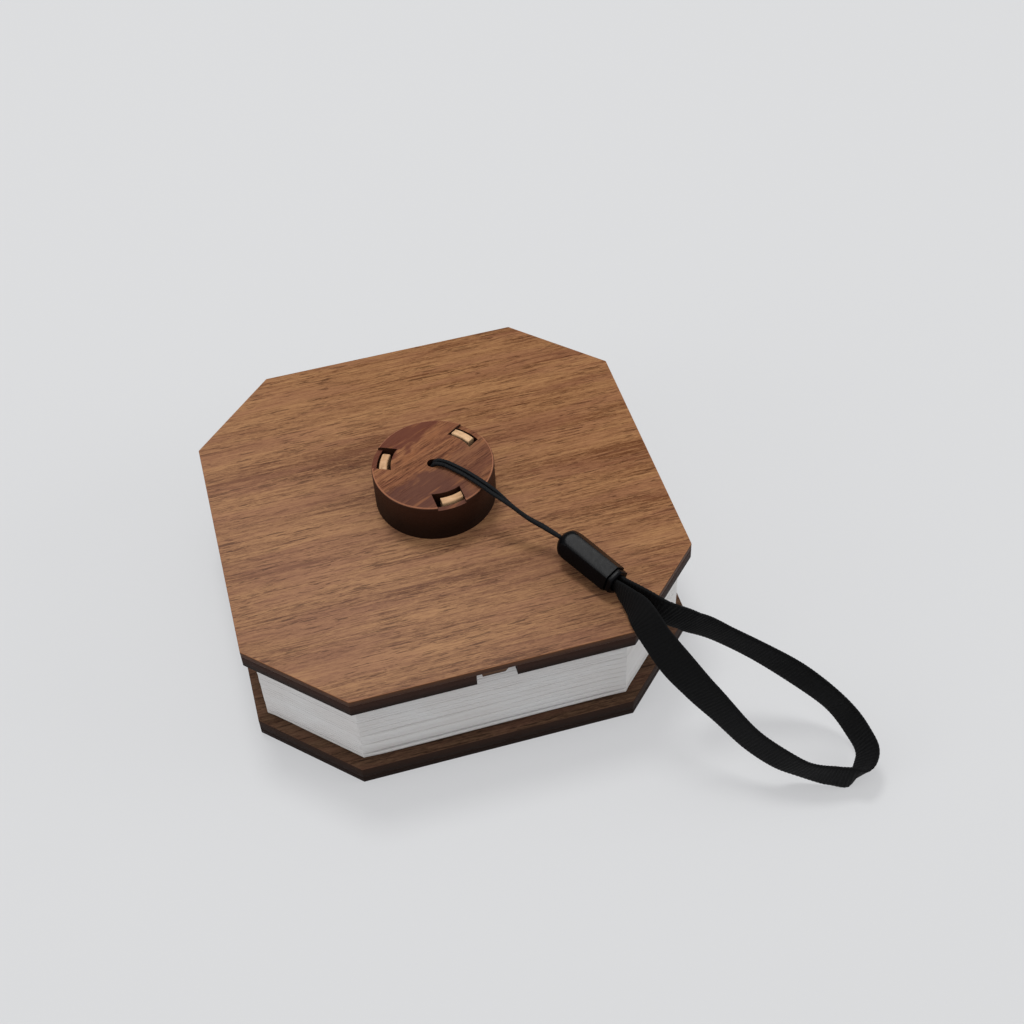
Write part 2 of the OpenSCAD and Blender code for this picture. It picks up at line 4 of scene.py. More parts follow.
import bmesh
import bpy
from mathutils import Matrix, Vector, noise
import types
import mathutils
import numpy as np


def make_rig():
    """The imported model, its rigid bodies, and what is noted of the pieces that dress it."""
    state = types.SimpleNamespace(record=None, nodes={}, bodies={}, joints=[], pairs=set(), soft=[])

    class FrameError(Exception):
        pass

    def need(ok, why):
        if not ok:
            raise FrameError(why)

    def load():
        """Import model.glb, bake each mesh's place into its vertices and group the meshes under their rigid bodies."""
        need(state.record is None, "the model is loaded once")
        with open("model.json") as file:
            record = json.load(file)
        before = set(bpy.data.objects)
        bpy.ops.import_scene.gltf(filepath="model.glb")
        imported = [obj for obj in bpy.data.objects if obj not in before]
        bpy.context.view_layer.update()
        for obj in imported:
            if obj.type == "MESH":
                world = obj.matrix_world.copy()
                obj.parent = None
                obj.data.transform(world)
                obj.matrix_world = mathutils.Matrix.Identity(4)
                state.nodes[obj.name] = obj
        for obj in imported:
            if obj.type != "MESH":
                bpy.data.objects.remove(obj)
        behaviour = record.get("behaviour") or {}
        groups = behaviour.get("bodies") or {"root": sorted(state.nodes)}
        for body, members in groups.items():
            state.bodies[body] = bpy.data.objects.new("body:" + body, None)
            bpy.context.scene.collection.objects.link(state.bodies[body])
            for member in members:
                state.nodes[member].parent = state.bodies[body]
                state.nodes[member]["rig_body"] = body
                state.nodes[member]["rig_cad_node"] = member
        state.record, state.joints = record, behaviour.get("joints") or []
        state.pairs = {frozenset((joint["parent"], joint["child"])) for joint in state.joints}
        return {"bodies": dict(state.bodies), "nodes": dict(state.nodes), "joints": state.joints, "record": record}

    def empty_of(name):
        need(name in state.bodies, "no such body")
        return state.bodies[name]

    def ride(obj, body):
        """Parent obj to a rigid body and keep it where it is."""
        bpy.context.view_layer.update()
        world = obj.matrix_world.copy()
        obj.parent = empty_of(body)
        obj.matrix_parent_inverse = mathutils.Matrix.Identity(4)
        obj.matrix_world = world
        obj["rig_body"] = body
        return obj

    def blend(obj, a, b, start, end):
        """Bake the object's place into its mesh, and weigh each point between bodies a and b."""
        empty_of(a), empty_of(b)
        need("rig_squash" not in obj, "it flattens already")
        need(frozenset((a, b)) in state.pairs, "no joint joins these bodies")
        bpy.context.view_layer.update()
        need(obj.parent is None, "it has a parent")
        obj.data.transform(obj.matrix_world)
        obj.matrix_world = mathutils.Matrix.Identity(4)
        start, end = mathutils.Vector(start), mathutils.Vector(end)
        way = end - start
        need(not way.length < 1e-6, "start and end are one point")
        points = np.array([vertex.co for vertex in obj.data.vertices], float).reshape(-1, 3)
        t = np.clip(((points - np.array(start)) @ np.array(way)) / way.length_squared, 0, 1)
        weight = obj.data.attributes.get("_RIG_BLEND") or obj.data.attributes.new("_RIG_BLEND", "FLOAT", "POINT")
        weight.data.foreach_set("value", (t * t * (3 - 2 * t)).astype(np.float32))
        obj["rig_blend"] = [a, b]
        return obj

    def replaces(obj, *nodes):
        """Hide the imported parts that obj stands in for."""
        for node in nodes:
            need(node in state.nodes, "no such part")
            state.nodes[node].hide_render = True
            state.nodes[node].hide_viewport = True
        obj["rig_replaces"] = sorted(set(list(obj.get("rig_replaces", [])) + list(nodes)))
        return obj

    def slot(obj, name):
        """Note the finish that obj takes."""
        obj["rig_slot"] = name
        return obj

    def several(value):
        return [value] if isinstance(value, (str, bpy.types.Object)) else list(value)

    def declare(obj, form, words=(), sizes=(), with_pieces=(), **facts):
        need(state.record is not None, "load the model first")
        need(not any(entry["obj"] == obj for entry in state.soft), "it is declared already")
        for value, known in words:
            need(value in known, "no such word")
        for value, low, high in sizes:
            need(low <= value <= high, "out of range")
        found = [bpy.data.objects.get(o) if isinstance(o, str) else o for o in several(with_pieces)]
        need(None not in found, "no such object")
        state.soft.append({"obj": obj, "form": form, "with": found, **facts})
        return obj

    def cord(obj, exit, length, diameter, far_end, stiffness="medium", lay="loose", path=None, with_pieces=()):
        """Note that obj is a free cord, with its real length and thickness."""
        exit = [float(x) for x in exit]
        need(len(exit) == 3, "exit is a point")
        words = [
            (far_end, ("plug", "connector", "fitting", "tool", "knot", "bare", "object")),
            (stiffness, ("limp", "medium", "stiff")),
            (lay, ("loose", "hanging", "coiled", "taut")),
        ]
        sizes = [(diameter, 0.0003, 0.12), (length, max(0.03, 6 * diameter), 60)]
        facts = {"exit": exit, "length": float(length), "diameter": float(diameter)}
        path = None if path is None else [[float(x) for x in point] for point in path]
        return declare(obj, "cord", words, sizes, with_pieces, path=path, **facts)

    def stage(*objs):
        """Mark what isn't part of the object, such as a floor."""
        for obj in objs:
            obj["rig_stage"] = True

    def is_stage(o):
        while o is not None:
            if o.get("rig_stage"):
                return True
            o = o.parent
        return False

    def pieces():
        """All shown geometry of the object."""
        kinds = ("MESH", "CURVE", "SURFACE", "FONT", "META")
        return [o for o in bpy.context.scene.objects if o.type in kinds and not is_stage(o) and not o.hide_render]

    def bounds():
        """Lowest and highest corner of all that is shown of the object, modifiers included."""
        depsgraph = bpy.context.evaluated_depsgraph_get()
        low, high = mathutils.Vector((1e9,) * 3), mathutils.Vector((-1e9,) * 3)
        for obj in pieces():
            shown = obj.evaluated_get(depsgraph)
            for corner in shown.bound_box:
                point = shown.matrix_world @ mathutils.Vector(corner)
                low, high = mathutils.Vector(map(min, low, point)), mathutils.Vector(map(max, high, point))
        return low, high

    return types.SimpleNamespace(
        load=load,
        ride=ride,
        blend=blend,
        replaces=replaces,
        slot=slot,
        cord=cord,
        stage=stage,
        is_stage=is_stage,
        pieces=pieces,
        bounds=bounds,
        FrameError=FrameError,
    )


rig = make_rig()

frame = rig.load()
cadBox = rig.bounds()
mm = 0.001  # every length below is in millimetres until it is multiplied by this


# the camera stands where the photograph was taken from
view = {
    "place": (-46.389, -288.771, 354.325),
    "turn": -13.08,  # degrees round the lamp from the front
    "height": 48.26,  # degrees above the floor
    "roll": -3.31,
    "lens": 55.9,
}


def placeCamera():
    turn, height, roll = (math.radians(view[k]) for k in ("turn", "height", "roll"))
    back = Vector((math.sin(turn) * math.cos(height), -math.cos(turn) * math.cos(height), math.sin(height)))
    right = (-back).cross(Vector((0, 0, 1))).normalized()
    up = right.cross(-back)
    across = right * math.cos(roll) + up * math.sin(roll)
    upright = up * math.cos(roll) - right * math.sin(roll)
    data = bpy.data.cameras.new("camera")
    data.lens, data.sensor_width = view["lens"], 36.0
    data.clip_start, data.clip_end = 0.01, 20.0
    camera = bpy.data.objects.new("camera", data)
    turned = Matrix((across, upright, back)).transposed().to_4x4()
    camera.matrix_world = Matrix.Translation(Vector(view["place"]) * mm) @ turned
    bpy.context.scene.collection.objects.link(camera)
    bpy.context.scene.camera = camera


studio = {
    "floorSize": 6.0,  # metres
    "floorColour": (149, 150, 150),
    "floorGlow": (221, 221, 223),  # the floor is lit from below too, as a light table is
    "glowStrength": 0.555,
    "airColour": (252, 253, 255),
    "airLow": 0.26,  # the studio's walls are darker than its ceiling
    "airHigh": 0.72,
    "wallTop": 0.15,  # where the walls begin to brighten, and where the ceiling begins
    "ceiling": 0.95,
    "lamps": (  # name, place in metres, size in metres, power in watts
        ("keyLight", (-0.05, 0.5, 1.35), 0.4, 7.6),
        ("leftLight", (-1.3, -0.15, 0.5), 0.8, 3.4),
        ("rightLight", (1.05, -0.3, 0.4), 0.8, 3.4),
    ),
}


def srgb(red, green, blue, alpha=1.0):
    # a colour as read off a screen, 0 to 255, turned to the linear values that shaders take
    def lin(c):
        c /= 255
        return c / 12.92 if c <= 0.04045 else ((c + 0.055) / 1.055) ** 2.4
    return (lin(red), lin(green), lin(blue), alpha)


class Wire:
    # one output of a node; arithmetic on it adds Math nodes
    def __init__(self, nodes, socket):
        self.nodes, self.socket = nodes, socket

    def maths(self, operation, first, second=0.0):
        return self.nodes.node("ShaderNodeMath", {"operation": operation}, {0: first, 1: second})

    def __add__(self, other):
        return self.maths("ADD", self, other)

    def __sub__(self, other):
        return self.maths("SUBTRACT", self, other)

    def __mul__(self, other):
        return self.maths("MULTIPLY", self, other)

    def __radd__(self, other):
        return self.maths("ADD", other, self)

    def __rsub__(self, other):
        return self.maths("SUBTRACT", other, self)

    def __rmul__(self, other):
        return self.maths("MULTIPLY", other, self)


class Nodes:
    # a node tree being filled
    def __init__(self, tree):
        self.tree = tree

    def feed(self, made, sockets):
        for key, value in sockets.items():
            if isinstance(value, Wire):
                self.tree.links.new(value.socket, made.inputs[key])
            else:
                made.inputs[key].default_value = value

    def node(self, kind, settings=None, sockets=None, out=0):
        made = self.tree.nodes.new(kind)
        for key, value in (settings or {}).items():
            if key == "stops":
                stops = made.color_ramp.elements
                while len(stops) < len(value):
                    stops.new(0.5)
                for stop, (place, colour) in zip(stops, value):
                    stop.position, stop.color = place, colour
            else:
                setattr(made, key, value)
        self.feed(made, sockets or {})
        return Wire(self, made.outputs[out])

    def place(self, scale=(1, 1, 1), turn=0.0, shift=(0, 0, 0), source="Object"):
        # coordinates in metres, times scale, after a turn about Z in degrees
        at = self.node("ShaderNodeTexCoord", out=source)
        turned = self.node("ShaderNodeMapping", {"vector_type": "POINT"},
                           {"Vector": at, "Location": shift, "Rotation": (0, 0, math.radians(turn))})
        return self.node("ShaderNodeVectorMath", {"operation": "MULTIPLY"}, {0: turned, 1: scale})

    def speckle(self, at, detail=2.0, rough=0.5, warp=0.0):
        return self.node("ShaderNodeTexNoise", {}, {
            "Vector": at, "Scale": 1.0, "Detail": detail, "Roughness": rough, "Distortion": warp})

    def between(self, value, low, high):
        # 0 below low, 1 above high, smooth between them
        return self.node("ShaderNodeMapRange", {"interpolation_type": "SMOOTHSTEP"},
                         {"Value": value, "From Min": low, "From Max": high})

    def mix(self, share, first, second, how="MIX"):
        return self.node("ShaderNodeMix", {"data_type": "RGBA", "blend_type": how},
                         {0: share, 6: first, 7: second}, out=2)

    def part(self, axis, vector):
        return self.node("ShaderNodeSeparateXYZ", {}, {0: vector}, out=axis)

    def bump(self, height, strength, depth):
        return self.node("ShaderNodeBump", {}, {"Height": height, "Strength": strength, "Distance": depth})


class Finish(Nodes):
    # a material being made: what is the same all over comes first, what changes over the surface last
    def __init__(self, name, **constants):
        self.material = bpy.data.materials.new(name)
        self.material.use_nodes = True
        super().__init__(self.material.node_tree)
        self.shader = self.tree.nodes["Principled BSDF"]
        self.feed(self.shader, constants)

    def wear(self, **sockets):
        self.feed(self.shader, {name.replace("_", " "): value for name, value in sockets.items()})
        return self.material


# each wood: its colours, the heights between which an upright edge darkens towards the bottom, and the grain's turn
# about Z
lidWood = {
    "dark": (102, 60, 33), "mid": (144, 100, 65), "light": (167, 121, 80), "rose": (142, 94, 68),
    # the lid's grey towards the front left is a painted sheen
    "pore": (70, 37, 17), "haze": 0.03, "rim": (162, 108, 72),
    "edge": (88, 58, 40), "edgeDark": (56, 34, 25), "edgeLow": 33.8, "edgeHigh": 35.8,
    "turn": 0.0, "seed": 0.0, "gloss": 0.1,
}
innerWood = {
    "dark": (46, 31, 24), "mid": (72, 51, 39), "light": (86, 62, 48), "rose": (78, 52, 42),
    "pore": (34, 22, 17), "haze": 0.0, "rim": (62, 43, 35),
    "edge": (56, 38, 32), "edgeDark": (27, 17, 12), "edgeLow": 30.4, "edgeHigh": 33.0,
    "turn": 0.0, "seed": 3.0, "gloss": 0.05,
}
footWood = {
    "dark": (66, 47, 35), "mid": (96, 72, 55), "light": (112, 85, 66), "rose": (104, 71, 58),
    "pore": (42, 29, 22), "haze": 0.0, "rim": (84, 60, 47),
    "edge": (52, 36, 29), "edgeDark": (20, 12, 9), "edgeLow": 1.0, "edgeHigh": 5.4,
    "turn": 0.0, "seed": 7.0, "gloss": 0.04,
}
capWood = {
    "dark": (96, 54, 34), "mid": (134, 86, 56), "light": (152, 102, 67), "rose": (122, 72, 50),
    "pore": (66, 36, 25), "haze": 0.0, "rim": (168, 112, 82),
    "edge": (56, 31, 20), "edgeDark": (24, 12, 7), "edgeLow": 38.0, "edgeHigh": 47.0,
    "turn": -26.0, "seed": 11.0, "gloss": 0.12,
}
capHeart = {  # darker heartwood: below low and above high across the grain, in millimetres
    "turn": -26, "low": 0.8, "high": 9.5, "lowSoft": 2.2, "highSoft": 1.6, "ragged": 12.0, "share": 0.85,
    "tone": (88, 52, 42), "red": (96, 50, 36), "streak": (152, 98, 62), "end": 4.0, "endSoft": 6,
}
keyWood = {
    "dark": (96, 70, 52), "mid": (122, 94, 70), "light": (138, 108, 84), "rose": (126, 92, 72),
    "pore": (72, 52, 40), "haze": 0.0, "rim": (126, 96, 74),
    "edge": (104, 76, 56), "edgeDark": (62, 44, 32), "edgeLow": 32.3, "edgeHigh": 33.6,
    "turn": 0.0, "seed": 13.0, "gloss": 0.1,
}
woodGrain = {  # how many times each figure repeats in a metre: along the grain, across it, and in height
    "bands": (12, 130, 130),
    "streaks": (52, 1400, 1400),
    "fibres": (480, 3400, 3400),
    "pores": (170, 2500, 2500),
    "clumps": (45, 300, 300),
    "blush": (28, 170, 170),
    "ragged": (110, 260, 260),
    "gold": (80, 600, 600),
    "saw": (330, 330, 2400),
}


def woodFinish(name, wood, heart=None):
    made = Finish(name, **{"Specular IOR Level": wood["gloss"]})
    shift = (0, 0, wood["seed"])
    turn = wood["turn"]
    bands = made.speckle(made.place(woodGrain["bands"], turn, shift), warp=0.3)
    streaks = made.speckle(made.place(woodGrain["streaks"], turn, shift), detail=4, rough=0.66, warp=0.9)
    fibres = made.speckle(made.place(woodGrain["fibres"], turn, shift), detail=3, rough=0.7, warp=0.9)
    pores = made.speckle(made.place(woodGrain["pores"], turn, shift), rough=0.6, warp=0.8)
    clump = made.speckle(made.place(woodGrain["clumps"], turn, (0.3, 0.1, wood["seed"])))
    blush = made.speckle(made.place(woodGrain["blush"], turn, (0.7, 0.4, wood["seed"])), rough=0.6)
    figure = bands * 0.36 + streaks * 0.66 + fibres * 0.58 - 0.3
    stops = [(at, srgb(*wood[shade])) for at, shade in ((0.36, "dark"), (0.50, "mid"), (0.64, "light"))]
    tone = made.node("ShaderNodeValToRGB", {"stops": stops}, {"Fac": figure})
    tone = made.mix(made.between(blush, 0.42, 0.66) * 0.4, tone, srgb(*wood["rose"]))
    openPores = made.between(pores, 0.57, 0.63) * made.between(clump, 0.34, 0.54)
    tone = made.mix(openPores * 0.7, tone, srgb(*wood["pore"]))
    if wood["haze"]:
        # painted sheen: a grey added towards the front left stands in for the light's reflection on the oiled lid
        leftFront = made.part("Y", made.place(turn=45))
        tone = made.mix(made.between(leftFront, 0.045, -0.055), tone, (wood["haze"],) * 3 + (1,), how="ADD")
    if heart:
        # darker heartwood over part of the disc, its border drawn out along the grain
        spot = made.place(turn=heart["turn"])
        ragged = made.speckle(made.place(woodGrain["ragged"], turn, (0.2, 0, 4.0)), detail=3, rough=0.6)
        across = made.part("Y", spot) + (ragged - 0.5) * (heart["ragged"] * mm)
        low = made.between(across, heart["low"] * mm, (heart["low"] - heart["lowSoft"]) * mm)
        high = made.between(across, heart["high"] * mm, (heart["high"] + heart["highSoft"]) * mm)
        fade = made.between(made.part("X", spot), heart["end"] * mm, (heart["end"] - heart["endSoft"]) * mm)
        low = low * (0.45 + 0.55 * fade)
        tone = made.mix(high * heart["share"], tone, srgb(*heart["red"]))
        tone = made.mix(low * heart["share"], tone, srgb(*heart["tone"]))
        gold = made.speckle(made.place(woodGrain["gold"], turn, (0, 0, 5.0)))
        tone = made.mix(made.between(gold, 0.60, 0.72) * 0.5, tone, srgb(*heart["streak"]))
    # paler where the edge is eased, a painted highlight, and sawn dark on the upright faces, darker towards their
    # bottom
    facing = made.part("Z", made.node("ShaderNodeTexCoord", out="Normal"))
    flatness = facing.maths("ABSOLUTE", facing)
    tone = made.mix(made.between(flatness, 0.98, 0.85) * 0.8, tone, srgb(*wood["rim"]))
    level = made.part("Z", made.node("ShaderNodeTexCoord", out="Object"))
    lowerDark = made.between(level, wood["edgeHigh"] * mm, wood["edgeLow"] * mm)
    saw = made.speckle(made.place(woodGrain["saw"]), detail=3, rough=0.6)
    edge = made.mix(lowerDark * 0.8 + saw * 0.5 - 0.2, srgb(*wood["edge"]), srgb(*wood["edgeDark"]))
    tone = made.mix(made.between(flatness, 0.75, 0.5), tone, edge)
    height = fibres * 0.35 + streaks * 0.25 - openPores
    return made.wear(Base_Color=tone, Roughness=0.48 + streaks * 0.14 + openPores * 0.15,
                     Normal=made.bump(height, 0.4, 0.0002))


def paperFinish():
    made = Finish("foldedPaper", **{"Specular IOR Level": 0.1})
    cloud = made.speckle(made.place((50, 50, 90)), detail=4, rough=0.6)
    fibre = made.speckle(made.place((900, 900, 2600)), detail=3, rough=0.7)
    # painted shade: faint darker lines at the folds' pitch stand in for the shade along the creases; the same noise
    # also gives a slight bump
    foldShadeLines = made.speckle(made.place((5, 5, 900)))
    tone = made.mix(made.between(cloud, 0.35, 0.7), srgb(216, 213, 211), srgb(221, 220, 219))
    tone = made.mix(made.between(foldShadeLines, 0.50, 0.68) * 0.12, tone, srgb(190, 185, 181))
    return made.wear(Base_Color=tone, Roughness=0.82 + fibre * 0.12,
                     Normal=made.bump(fibre * 0.4 + foldShadeLines * 0.6, 0.12, 0.0001))


def paleWoodFinish():
    made = Finish("paleWood", **{"Specular IOR Level": 0.35})
    grain = made.speckle(made.place((300, 1800, 420)), detail=3, rough=0.6)
    broad = made.speckle(made.place((90, 400, 160)))
    tone = made.mix(made.between(broad, 0.35, 0.65), srgb(202, 158, 116), srgb(226, 186, 142))
    tone = made.mix(made.between(grain, 0.5, 0.72) * 0.4, tone, srgb(160, 108, 70))
    return made.wear(Base_Color=tone, Roughness=0.5 + grain * 0.15, Normal=made.bump(grain, 0.25, 0.0002))


def metalFinish(name, light, dark, rough):
    made = Finish(name, Metallic=1.0)
    brush = made.speckle(made.place((700, 700, 700)), detail=3, rough=0.6)
    blotch = made.speckle(made.place((90, 90, 90)))
    tone = made.mix(made.between(blotch, 0.35, 0.65), srgb(*light), srgb(*dark))
    return made.wear(Base_Color=tone, Roughness=rough + brush * 0.14, Normal=made.bump(brush, 0.15, 0.0001))


def mouldedFinish(name, light, dark, rough=0.42, fine=2600, bump=0.25, gloss=0.5):
    made = Finish(name, **{"Specular IOR Level": gloss})
    skin = made.speckle(made.place((fine, fine, fine)), rough=0.6)
    blotch = made.speckle(made.place((120, 120, 120)))
    tone = made.mix(made.between(blotch, 0.35, 0.65), srgb(*light), srgb(*dark))
    return made.wear(Base_Color=tone, Roughness=rough + skin * 0.12, Normal=made.bump(skin, bump, 0.00008))


def boardFinish(name, mask, trace):
    # a circuit board: solder mask with fine tracks under it
    made = Finish(name, **{"Specular IOR Level": 0.5, "Coat Roughness": 0.2})
    tracks = made.node("ShaderNodeTexBrick", {"offset": 0.35}, {
        "Vector": made.place(), "Scale": 420.0, "Mortar Size": 0.025, "Color1": (0, 0, 0, 1),
        "Color2": (0, 0, 0, 1), "Mortar": (1, 1, 1, 1)}, out="Fac")
    blotch = made.speckle(made.place((200, 200, 200)))
    tone = made.mix(tracks * made.between(blotch, 0.4, 0.6), srgb(*mask), srgb(*trace))
    return made.wear(Base_Color=tone, Roughness=0.35 + blotch * 0.1, Normal=made.bump(tracks, 0.2, 0.00005))


def braidFinish():
    # the braid's strands are in the mesh; fine threads run along each of them
    made = Finish("blackBraid", **{
        "Specular IOR Level": 0.16, "Sheen Weight": 0.02, "Sheen Roughness": 0.4,
        "Sheen Tint": srgb(120, 140, 165)})
    along = made.place(source="UV")
    thread = made.node("ShaderNodeTexWave", {"wave_type": "BANDS", "bands_direction": "DIAGONAL"},
                       {"Vector": along, "Scale": 18.0, "Distortion": 1.5, "Detail": 2.0})
    lint = made.speckle(made.place((2200, 2200, 2200)))
    tone = made.mix(thread * 0.6 + lint * 0.3, srgb(6, 7, 8), srgb(15, 18, 22))
    return made.wear(Base_Color=tone, Roughness=0.42 + lint * 0.2, Normal=made.bump(thread, 0.3, 0.00008))


def webbingFinish():
    made = Finish("blackWebbing", **{
        "Specular IOR Level": 0.1, "Sheen Weight": 0.06, "Sheen Roughness": 0.45,
        "Sheen Tint": srgb(120, 122, 126)})
    along = made.place(source="UV")  # U across in threads, V along in ribs
    warpThread = made.node("ShaderNodeTexWave", {"wave_type": "BANDS", "bands_direction": "X"},
                           {"Vector": along, "Scale": 7.0, "Distortion": 0.6, "Detail": 2.0})
    weft = made.node("ShaderNodeTexWave", {"wave_type": "BANDS", "bands_direction": "Y"},
                     {"Vector": along, "Scale": 0.95, "Distortion": 0.8, "Detail": 2.0})
    lint = made.speckle(made.place((1800, 1800, 1800)), detail=3)
    tone = made.mix(warpThread * weft * 0.7 + lint * 0.35, srgb(7, 7, 7), srgb(20, 20, 21))
    return made.wear(Base_Color=tone, Roughness=0.62 + lint * 0.2,
                     Normal=made.bump(warpThread * 0.5 + weft * 0.3 + lint * 0.2, 0.35, 0.00012))


def floorFinish():
    made = Finish("studioFloor", Roughness=0.85, **{
        "Base Color": srgb(*studio["floorColour"]), "Specular IOR Level": 0.05,
        "Emission Color": srgb(*studio["floorGlow"]), "Emission Strength": studio["glowStrength"]})
    return made.material


finishes = {  # for each material slot of the record
    "walnut_light": woodFinish("lidWalnut", lidWood),
    "walnut_dark": woodFinish("innerWalnut", innerWood),
    "walnut_foot": woodFinish("footWalnut", footWood),
    "walnut_cap": woodFinish("capWalnut", capWood, capHeart),
    "walnut_key": woodFinish("keyWalnut", keyWood),
    "pale_wood": paleWoodFinish(),
    "paper": paperFinish(),
    "steel_disc": metalFinish("steelDisc", (178, 178, 176), (140, 140, 140), 0.3),
    "screw_steel": metalFinish("screwSteel", (190, 190, 188), (150, 150, 150), 0.25),
    "magnet_metal": metalFinish("magnetNickel", (196, 194, 188), (168, 166, 160), 0.2),
    "socket_metal": metalFinish("socketSteel", (186, 186, 186), (150, 150, 152), 0.28),
    "housing_plastic": mouldedFinish("housingPlastic", (226, 224, 218), (214, 212, 206)),
    "diffuser_plastic": mouldedFinish("diffuserPlastic", (244, 242, 236), (232, 230, 224), 0.5),
    "cell": mouldedFinish("cellWrap", (70, 92, 120), (54, 74, 100), 0.35),
    "foam": mouldedFinish("foamPad", (58, 58, 60), (44, 44, 46), 0.8, 900, 0.6),
    "board_green": boardFinish("greenBoard", (30, 84, 52), (58, 120, 78)),
    "board_white": boardFinish("whiteBoard", (226, 226, 222), (206, 206, 202)),
    "component_black": mouldedFinish("componentBlack", (34, 34, 36), (22, 22, 24), 0.45),
    "led_yellow": mouldedFinish("ledYellow", (236, 206, 96), (224, 190, 74), 0.3),
    "lead_red": mouldedFinish("leadRed", (168, 34, 30), (138, 26, 24), 0.4),
    "black_cord": braidFinish(),
    "black_webbing": webbingFinish(),
    "black_gloss": mouldedFinish("glossBlack", (7, 7, 9), (5, 5, 6), 0.22, 1000, 0.015, 0.06),
}
print("materials made:", len(finishes))

slotOf = {row["node"]: row["material_slot"] for row in frame["record"]["subparts"]}


def putInOrder(parts, placeOf):
    # extrusion numbers what it makes differently from run to run, so a piece's parts are numbered by place
    for number, part in enumerate(sorted(parts, key=lambda part: placeOf(part)[:])):
        part.index = number
    parts.sort()


def addPiece(bm, name, material, smoothAngle=35):
    putInOrder(bm.verts, lambda vert: vert.co)
    putInOrder(bm.edges, lambda edge: edge.verts[0].co + edge.verts[1].co)
    putInOrder(bm.faces, lambda face: face.calc_center_median())
    mesh = bpy.data.meshes.new(name)
    bm.to_mesh(mesh)
    bm.free()
    mesh.materials.append(material)
    mesh.shade_smooth()
    mesh.set_sharp_from_angle(angle=math.radians(smoothAngle))
    piece = bpy.data.objects.new(name, mesh)
    bpy.context.scene.collection.objects.link(piece)
    return piece


def standFor(piece, node, body):
    # the piece moves with the node's body and is seen in the node's place
    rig.ride(piece, body)
    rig.replaces(piece, node)
    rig.slot(piece, slotOf[node])


easing = {
    "merge": 0.002,  # points this close become one
    "flat": 0.4,  # faces that turn less than this, in degrees, are joined
    "sharp": 30,  # edges that turn more than this are rounded
    "segments": 2,
}


def easedNode(node, finish, ease):
    # a copy of the node, merged, its flats joined up, and its sharp edges rounded by ease
    source = frame["nodes"][node]
    bm = bmesh.new()
    bm.from_mesh(source.data)
    bmesh.ops.remove_doubles(bm, verts=bm.verts, dist=easing["merge"] * mm)
    bmesh.ops.dissolve_limit(bm, angle_limit=math.radians(easing["flat"]), verts=bm.verts, edges=bm.edges)
    if ease:
        turns = math.radians(easing["sharp"])
        edges = [e for e in bm.edges if e.is_manifold and e.calc_face_angle() > turns]
        bmesh.ops.bevel(bm, geom=edges, offset=ease * mm, offset_type="OFFSET", segments=easing["segments"],
                        profile=0.5, affect="EDGES", material=-1, clamp_overlap=True)
    name = "".join(word.capitalize() if k else word for k, word in enumerate(node.split("_")))
    standFor(addPiece(bm, name, finishes[finish]), node, source["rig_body"])


easedNodes = {  # node: finish, width of the eased edge
    "top_outer_board": ("walnut_light", 0.18),
    "top_inner_board": ("walnut_dark", 0.12),
    "bottom_inner_board": ("walnut_foot", 0.15),
    "bottom_outer_board": ("walnut_dark", 0.15),
    "switch_key": ("walnut_key", 0.12),
    "hanger_cap": ("walnut_cap", 0.0),
    "hanger_lugs": ("pale_wood", 0.0),
    "hanger_base": ("pale_wood", 0.1),
    "bead_collar": ("black_gloss", 0.15),
    "cord_knot": ("black_cord", 0.0),
    "socket_shell": ("socket_metal", 0.0),
}
for node, (finish, ease) in easedNodes.items():
    easedNode(node, finish, ease)
print("eased pieces made:", len(easedNodes))


strand = {  # the routes' points are those of part.scad
    "diameter": 1.2,
    "back": [
        (0.35, 1.33, 43.8), (0.35, 1.33, 45.6), (0.55, 1.15, 47.5), (1.45, 0.55, 48.6), (2.9, -0.4, 48.75),
        (4.3, -1.5, 48.55), (7.5, -5.3, 48.5), (10.65, -10.1, 48.55), (13.7, -14.55, 47.7),
        (16.55, -18.7, 45.75), (19.7, -22.2, 44), (23.2, -24.95, 42.4), (27.2, -29.65, 40.95),
    ],
    "front": [
        (-0.35, 0.27, 43.8), (-0.35, 0.27, 45.6), (-0.15, 0.1, 47.5), (0.75, -0.5, 48.6),
        (2.2, -1.45, 48.75), (3.35, -2.35, 48.55), (6.45, -6.05, 48.5), (9.6, -10.8, 48.55),
        (12.7, -15.4, 48), (16.1, -19.45, 46.8), (19.4, -23.25, 45), (22.85, -26.35, 43.4),
        (27, -30.45, 41.9),
    ],
    "rings": 30,  # for each stretch between two points
    "sides": 20,
    "firstAcross": (0.69, 0.72, 0),  # the way the first ring's first point lies
    "carriers": 4,  # braided bundles each way round
    "braid": 1.5,  # length of one turn of a bundle
    "relief": 0.045,  # how far the bundles stand out
}
